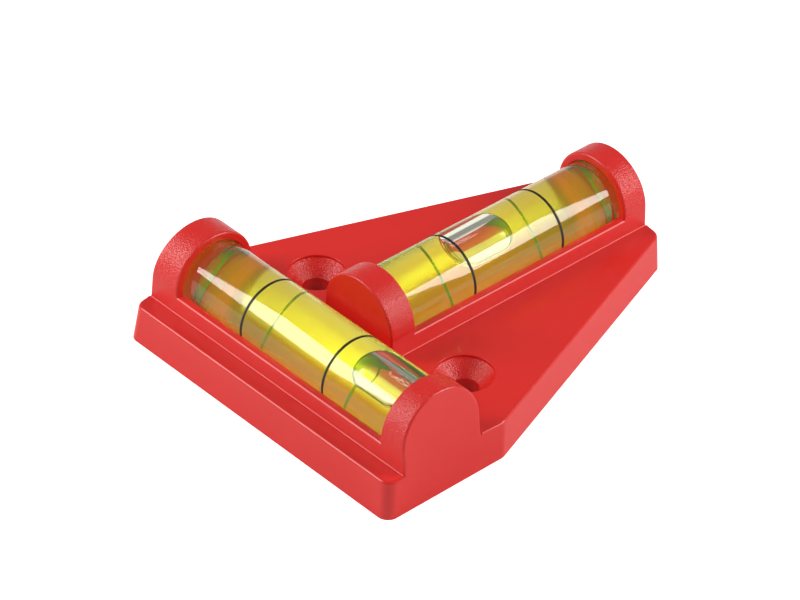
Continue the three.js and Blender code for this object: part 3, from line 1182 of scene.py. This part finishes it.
    def beside_a_vial(self, point: Vector) -> bool:
        """Whether a point lies on the walls of a vial's channel or of the clear space under it.

        Args:
            point: a point on the housing.

        Returns:
            True where the vial is all that hides it.
        """
        near = self.bed_margin
        aside, cross_aside = abs(point.x), point.y - self.cross_y
        rise = max(point.z - self.axis_height, 0)
        start, end = self.long_channel
        in_cross = aside < self.cross_channel + near
        in_long = start - near < point.y - self.front < end + near
        reach = self.channel_radius + near
        in_cross_bed = in_cross and math.hypot(cross_aside, rise) < reach
        if in_cross_bed or in_long and math.hypot(aside, rise) < reach:
            return point.z < self.cradle_top - near
        if point.z > self.hollow_height + near:
            return False
        front, back = self.cross_window
        under_cross = in_cross and front - near < cross_aside < back + near
        return under_cross or in_long and aside < self.long_window + near


# Vials


@dataclass
class Vial:
    """One vial along X about its own middle: barrel, plug, liquid, bubble and two printed rings."""

    finishes: Finishes
    along: Along
    middle: Vector
    radius: float = 7.25 * MM
    wall: float = 2.05 * MM
    closed_end: float = 1.2 * MM
    plug_length: float = 4.6 * MM
    crown: float = 0.12 * MM
    end_round: float = 0.3 * MM
    liquid_gap: float = 0.02 * MM
    bubble_place: float = 20.4 * MM
    bubble_length: float = 14.2 * MM
    bubble_width: float = 8.2 * MM
    bubble_height: float = 4.4 * MM
    bubble_round_height: float = 5.4 * MM
    bubble_ceiling: float = 0.12 * MM
    ring_spacing: float = 21.8 * MM
    ring_width: float = 0.55 * MM
    ring_inner_gap: float = 0.01 * MM
    ring_thickness: float = 0.05 * MM
    steps: int = 128
    cavity_stations: int = 16
    bubble_facets: tuple[int, int] = (64, 48)
    smooth_degrees: float = 35
    bubble_smooth_degrees: float = 180
    near: float = 0.01 * MM
    half: float = VIAL_LENGTH / 2

    @property
    def cavity_start(self) -> float:
        """X of the plug's inner face."""
        return -self.half + self.plug_length

    @property
    def cavity_end(self) -> float:
        """X of the closed end's inner face."""
        return self.half - self.closed_end

    def cavity_radius(self, x: float) -> float:
        """Radius of the slightly barrel-shaped cavity at a place along X."""
        return self.radius - self.wall - self.crown * (x / self.half) ** 2

    def cavity_profile(self) -> Profile:
        """Points along the cavity's wall.

        Returns:
            The points in [place along X, radius], from the plug to the closed end.
        """
        start, span = self.cavity_start, self.cavity_end - self.cavity_start
        stations = self.cavity_stations
        places = [start + span * i / stations for i in range(stations + 1)]
        return [(x, self.cavity_radius(x)) for x in places]

    def placed(self, bm: BMesh, name: str, *materials: Material) -> Object:
        """Moves a mesh from the vial's own place to the part's frame and makes it an object.

        Args:
            bm: the mesh, along X about the vial's middle.
            name: the last part of the piece's name.
            materials: its materials, in the order of their slots.

        Returns:
            The finished object, at the origin.
        """
        angle = -math.pi / 2 if self.along is Along.LONG else 0
        matrix = Matrix.Translation(self.middle) @ Matrix.Rotation(angle, 4, "Z")
        bmesh.ops.transform(bm, matrix=matrix, verts=bm.verts)
        obj = to_object(bm, f"{self.along.value}_{name}")
        shade_smooth(obj, self.smooth_degrees)
        cover(obj, *materials)
        return obj

    def barrel(self) -> Object:
        """Builds the barrel, open at the plug's end, and says what each of its faces borders on.

        Returns:
            The barrel.
        """
        mouth = self.cavity_radius(self.cavity_start)
        profile = [
            (-self.half, mouth),
            *rounded_corner(-self.half, self.radius, -1, self.end_round),
            *rounded_corner(self.half, self.radius, 1, self.end_round),
            (self.half, 0),
            (self.cavity_end, 0),
            *reversed(self.cavity_profile()),
        ]
        bm = turn_round_x(profile, self.steps)
        for face in bm.faces:
            face.material_index = self.border(face.calc_center_median(), mouth).value
        glass = (*self.finishes.glass, self.finishes.acrylic_foot)
        return self.placed(bm, "barrel_glass", *glass)

    def border(self, centre: Vector, mouth: float) -> Wall:
        """What the acrylic borders on at a face.

        Args:
            centre: the face's centre in the vial's own place.
            mouth: radius of the bore that takes the plug.

        Returns:
            Air, liquid, the plug's cement or, on the underside, the matt foot.
        """
        reach = math.hypot(centre.y, centre.z)
        if reach > mouth + self.wall / 4 or centre.x > self.cavity_end + self.near:
            low = centre.z < -self.radius / 4
            return Wall.FOOT if low and abs(centre.x) < self.half - self.end_round else Wall.AIR
        if centre.x < self.cavity_start - self.near:
            in_bore = reach > mouth - self.wall / 4 and centre.x > -self.half + self.near
            return Wall.CEMENT if in_bore else Wall.AIR
        return Wall.LIQUID

    def plug(self) -> Object:
        """Builds the plug that is cemented into the open end.

        Returns:
            The plug.
        """
        radius = self.cavity_radius(self.cavity_start) - self.liquid_gap
        start, end = -self.half, self.cavity_start
        profile = [(start, 0), (start, radius), (end, radius), (end, 0)]
        bm = turn_round_x(profile, self.steps)
        for face in bm.faces:
            x = face.calc_center_median().x
            border = Wall.CEMENT
            if x < start + self.near:
                border = Wall.AIR
            elif x > end - self.near:
                border = Wall.LIQUID
            face.material_index = border.value
        return self.placed(bm, "plug_glass", *self.finishes.glass)

    def bubble(self) -> Object:
        """Builds the bubble: a flattened capsule that the cavity's ceiling cuts off.

        Returns:
            The bubble.
        """
        half_width = self.bubble_width / 2
        u, v = self.bubble_facets
        bm = bmesh.new()
        bmesh.ops.create_uvsphere(bm, u_segments=u, v_segments=v, radius=half_width)
        turn = Matrix.Rotation(math.pi / 2, 3, "Y")
        bmesh.ops.rotate(bm, cent=(0, 0, 0), matrix=turn, verts=bm.verts)
        straight = self.bubble_length / 2 - half_width
        middle = {vert for vert in bm.verts if abs(vert.co.x) <= self.near}
        for side in (1, -1):
            end = [vert for vert in bm.verts if vert.co.x * side > self.near]
            bmesh.ops.translate(bm, vec=(straight * side, 0, 0), verts=end)
        # The bevel widens the middle circle into the straight stretch.
        circle = [edge for edge in bm.edges if middle.issuperset(edge.verts)]
        round_edges(bm, circle, straight, segments=2, clamp=False)
        flatten = self.bubble_round_height / self.bubble_width
        bmesh.ops.scale(bm, vec=(1, 1, flatten), verts=bm.verts)
        top = self.radius - self.wall - self.crown - self.bubble_ceiling
        low = top - self.bubble_height
        bmesh.ops.translate(bm, vec=(0, 0, low + self.bubble_round_height / 2), verts=bm.verts)
        for vert in bm.verts:
            reach = math.hypot(vert.co.y, vert.co.z)
            if reach > top:
                vert.co.yz = vert.co.yz * (top / reach)
        bmesh.ops.translate(bm, vec=(self.bubble_place, 0, 0), verts=bm.verts)
        bmesh.ops.recalc_face_normals(bm, faces=bm.faces)
        obj = self.placed(bm, "bubble_air", self.finishes.air)
        shade_smooth(obj, self.bubble_smooth_degrees)
        return obj

    def liquid(self, bubble: Object) -> Object:
        """Builds the liquid, which always leaves out the bubble wherever that stands.

        Args:
            bubble: the bubble's object.

        Returns:
            The liquid.
        """
        profile = [(self.cavity_start, 0), *self.cavity_profile(), (self.cavity_end, 0)]
        bm = turn_round_x(profile, self.steps)
        obj = self.placed(bm, "liquid_fill", self.finishes.liquid)
        cut = obj.modifiers.new("bubble", "BOOLEAN")
        cut.operation = Combine.CUT.value
        cut.solver = "EXACT"
        cut.object = bubble
        shrink = obj.modifiers.new("clearance", "DISPLACE")
        shrink.strength = -self.liquid_gap
        shrink.mid_level = 0
        return obj

    def ring(self, place: float, name: str) -> Object:
        """Builds one printed ring.

        Args:
            place: X of its middle.
            name: the last part of its name.

        Returns:
            The ring.
        """
        inner = self.radius + self.ring_inner_gap
        outer = inner + self.ring_thickness
        edge = self.ring_thickness / 2
        start, end = place - self.ring_width / 2, place + self.ring_width / 2
        profile = [
            (start, inner),
            (start, outer - edge),
            (start + edge, outer),
            (end - edge, outer),
            (end, outer - edge),
            (end, inner),
        ]
        bm = turn_round_x(profile, self.steps)
        return self.placed(bm, f"ring_{name}_ink", self.finishes.ink)


# Studio


@dataclass(frozen=True)
class Softbox:
    """One rectangular lamp that faces the object."""

    name: str
    azimuth: float
    elevation: float
    distance: float = 0.6
    size: Pair = (0.26, 0.3)
    power: float = 2.4

    def build(self) -> None:
        """Makes the lamp."""
        data = bpy.data.lights.new(self.name, "AREA")
        data.shape = "RECTANGLE"
        data.size, data.size_y = self.size
        data.energy = self.power
        lamp = bpy.data.objects.new(self.name, data)
        bpy.context.scene.collection.objects.link(lamp)
        way = direction(self.azimuth, self.elevation)
        lamp.location = way * self.distance
        lamp.rotation_euler = way.to_track_quat("Z", "Y").to_euler()


@dataclass
class Studio:
    """Floor, lamps, world and camera."""

    focal_px: float = 3973.9
    azimuth: float = 47.188
    elevation: float = 36.835
    roll: float = 1.168
    distance: float = 729.325 * MM
    target: Vector = field(default_factory=lambda: Vector((-10.788, 0.268, 0)) * MM)
    sensor: float = 36.0
    image_width: float = 800.0
    clip_start: float = 0.01
    floor_half: float = 3.0
    floor_grey: float = 0.85
    floor_roughness: float = 0.9
    floor_seen_by: tuple[tuple[str, float], ...] = (
        ("Is Camera Ray", 0.85),
        ("Is Transmission Ray", 0.335),
        ("Is Glossy Ray", 0.16),
    )
    world_light: float = 0.31
    world_seen: float = 1.0
    lamps: tuple[Softbox, ...] = (
        Softbox("left_softbox", -42, 33),
        Softbox("right_softbox", 132, 30),
    )

    def camera(self) -> None:
        """Makes the camera at the photograph's place."""
        data = bpy.data.cameras.new("camera")
        data.sensor_width = self.sensor
        data.sensor_fit = "HORIZONTAL"
        data.lens = self.focal_px / self.image_width * self.sensor
        data.clip_start = self.clip_start
        camera = bpy.data.objects.new("camera", data)
        bpy.context.scene.collection.objects.link(camera)
        back = direction(self.azimuth, self.elevation)
        a, r = math.radians(self.azimuth), math.radians(self.roll)
        right = Vector((math.cos(a), math.sin(a), 0))
        up = back.cross(right)
        turned_right = right * math.cos(r) + up * math.sin(r)
        turned_up = up * math.cos(r) - right * math.sin(r)
        matrix = Matrix((turned_right, turned_up, back)).transposed().to_4x4()
        matrix.translation = self.target + back * self.distance
        camera.matrix_world = matrix
        bpy.context.scene.camera = camera

    def floor(self) -> None:
        """Makes the pale floor, which keeps the object's shadow and shows as white."""
        bm = bmesh.new()
        bmesh.ops.create_grid(bm, x_segments=1, y_segments=1, size=self.floor_half)
        floor = to_object(bm, "studio_floor")
        material, nodes, shader = blank_material("white_floor")
        grey = (self.floor_grey, self.floor_grey, self.floor_grey, 1)
        nodes.fill(shader, {"Base Color": grey, "Roughness": self.floor_roughness})
        ray = nodes.add("ShaderNodeLightPath").outputs
        parts = [nodes.compute("MULTIPLY", ray[name], share) for name, share in self.floor_seen_by]
        strength = parts[0]
        for part in parts[1:]:
            strength = nodes.compute("MAXIMUM", strength, part)
        nodes.fill(shader, {"Emission Color": WHITE, "Emission Strength": strength})
        cover(floor, material)

    def world(self) -> None:
        """Makes an even pale surround that shows as white."""
        world = bpy.data.worlds.new("studio")
        bpy.context.scene.world = world
        world.use_nodes = True
        nodes = Nodes(world.node_tree)
        background = world.node_tree.nodes["Background"]
        seen = nodes.add("ShaderNodeLightPath").outputs["Is Camera Ray"]
        levels = {"Value": seen, "To Min": self.world_light, "To Max": self.world_seen}
        strength = nodes.add("ShaderNodeMapRange", levels).outputs["Result"]
        nodes.fill(background, {"Color": WHITE, "Strength": strength})

    def build(self) -> None:
        """Builds the whole studio."""
        self.camera()
        self.floor()
        self.world()
        for lamp in self.lamps:
            lamp.build()
        bpy.context.scene.view_settings.view_transform = "Standard"


def dress_vial(vial: Vial, name: str, body: str, rings: tuple[str, str]) -> None:
    """Builds one vial's pieces and ties each to the node that it stands for.

    Args:
        vial: the vial's sizes and place.
        name: the nodes' common start, such as cross_vial.
        body: the body that the bubble rides on.
        rings: the last parts of the ring nodes' names, from -X to +X in the vial's own place.
    """
    bubble = vial.bubble()
    pieces = [
        (vial.barrel(), "barrel", "clear_acrylic", "body"),
        (vial.plug(), "plug", "clear_acrylic", "body"),
        (bubble, "bubble", "vial_air", body),
        (vial.liquid(bubble), "liquid", "vial_liquid", "body"),
    ]
    for side, ring in zip((-1, 1), rings):
        piece = vial.ring(side * vial.ring_spacing / 2, ring)
        pieces.append((piece, f"ring_{ring}", "black_ink", "body"))
    for piece, node, slot, rides_on in pieces:
        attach(piece, rides_on)
        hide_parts(f"{name}_{node}")
        log.info("%s stands for %s_%s", piece.name, name, node)


def main() -> None:
    """Builds the studio and the object, and reports each piece."""
    logging.basicConfig(level=logging.INFO, format="%(message)s")
    Studio().build()
    finishes = Finishes()
    housing = Housing(finishes)
    shell = housing.build()
    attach(shell, "body")
    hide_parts("housing")
    log.info("%s stands for housing", shell.name)
    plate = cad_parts["base_plate"]
    plate.data.materials.clear()
    # The base plate gets the material with the painted red glow.
    cover(plate, finishes.red_bed_painted_glow)
    log.info("base_plate keeps its CAD mesh")
    axis = housing.axis_height
    cross = Vial(finishes, Along.CROSS, Vector((0, housing.cross_y, axis)))
    dress_vial(cross, "cross_vial", "cross_bubble", ("left", "right"))
    middle = Vector((0, housing.long_y, axis))
    long = Vial(finishes, Along.LONG, middle, bubble_place=4.4 * MM)
    dress_vial(long, "long_vial", "long_bubble", ("far", "near"))


if __name__ == "__main__":
    main()
